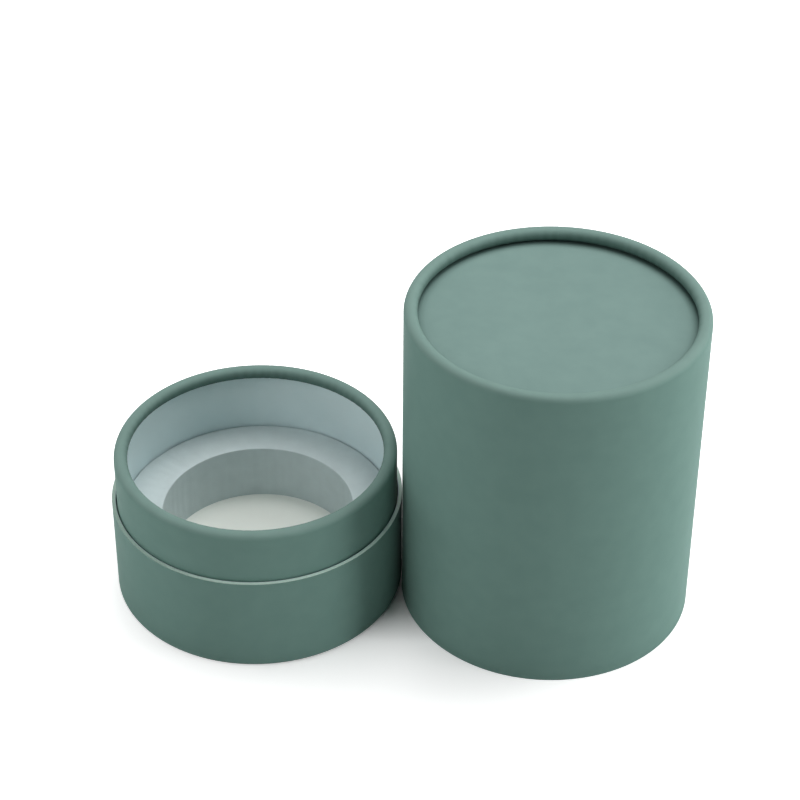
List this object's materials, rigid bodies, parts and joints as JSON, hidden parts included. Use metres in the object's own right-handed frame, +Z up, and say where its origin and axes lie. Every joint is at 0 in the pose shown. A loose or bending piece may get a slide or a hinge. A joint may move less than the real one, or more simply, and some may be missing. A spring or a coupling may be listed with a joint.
{
  "type": "cylindrical gift tube box",
  "caption": "Round telescoping paper-board gift tube, open: base with neck and foam bottle socket, lid with a rolled rim standing beside it.",
  "frame": {"origin": "centre of the base's foot, on the surface that the base and the lid both stand on", "axes": "+Z up along the base's axis, out of the bottle socket; +X from the base to the lid beside it"},
  "size_m": [0.1722, 0.0862, 0.101],
  "materials": {
    "sage_paper": "matte",
    "tube_board": "matte",
    "disc_board": "matte",
    "white_liner": "matte",
    "white_paper": "matte",
    "white_foam": "matte"
  },
  "bodies": {
    "base": {"base_wrap": "sage_paper", "base_tube": "tube_board", "base_liner": "white_liner", "bottom_paper": "sage_paper", "bottom_disc": "disc_board", "neck_wrap": "sage_paper", "neck_tube": "tube_board", "neck_liner": "white_liner", "floor_paper": "white_paper", "foam_insert": "white_foam"},
    "lid": {"lid_wrap": "sage_paper", "lid_tube": "tube_board", "lid_liner": "white_liner", "lid_top_paper": "sage_paper", "lid_disc": "disc_board", "lid_ceiling_paper": "white_paper"}
  },
  "joints": [
    {"name": "lid_lift", "type": "slide", "parent": "base", "child": "lid", "axis": [0, 0, 1], "range_m": [0, 0.06]}
  ]
}
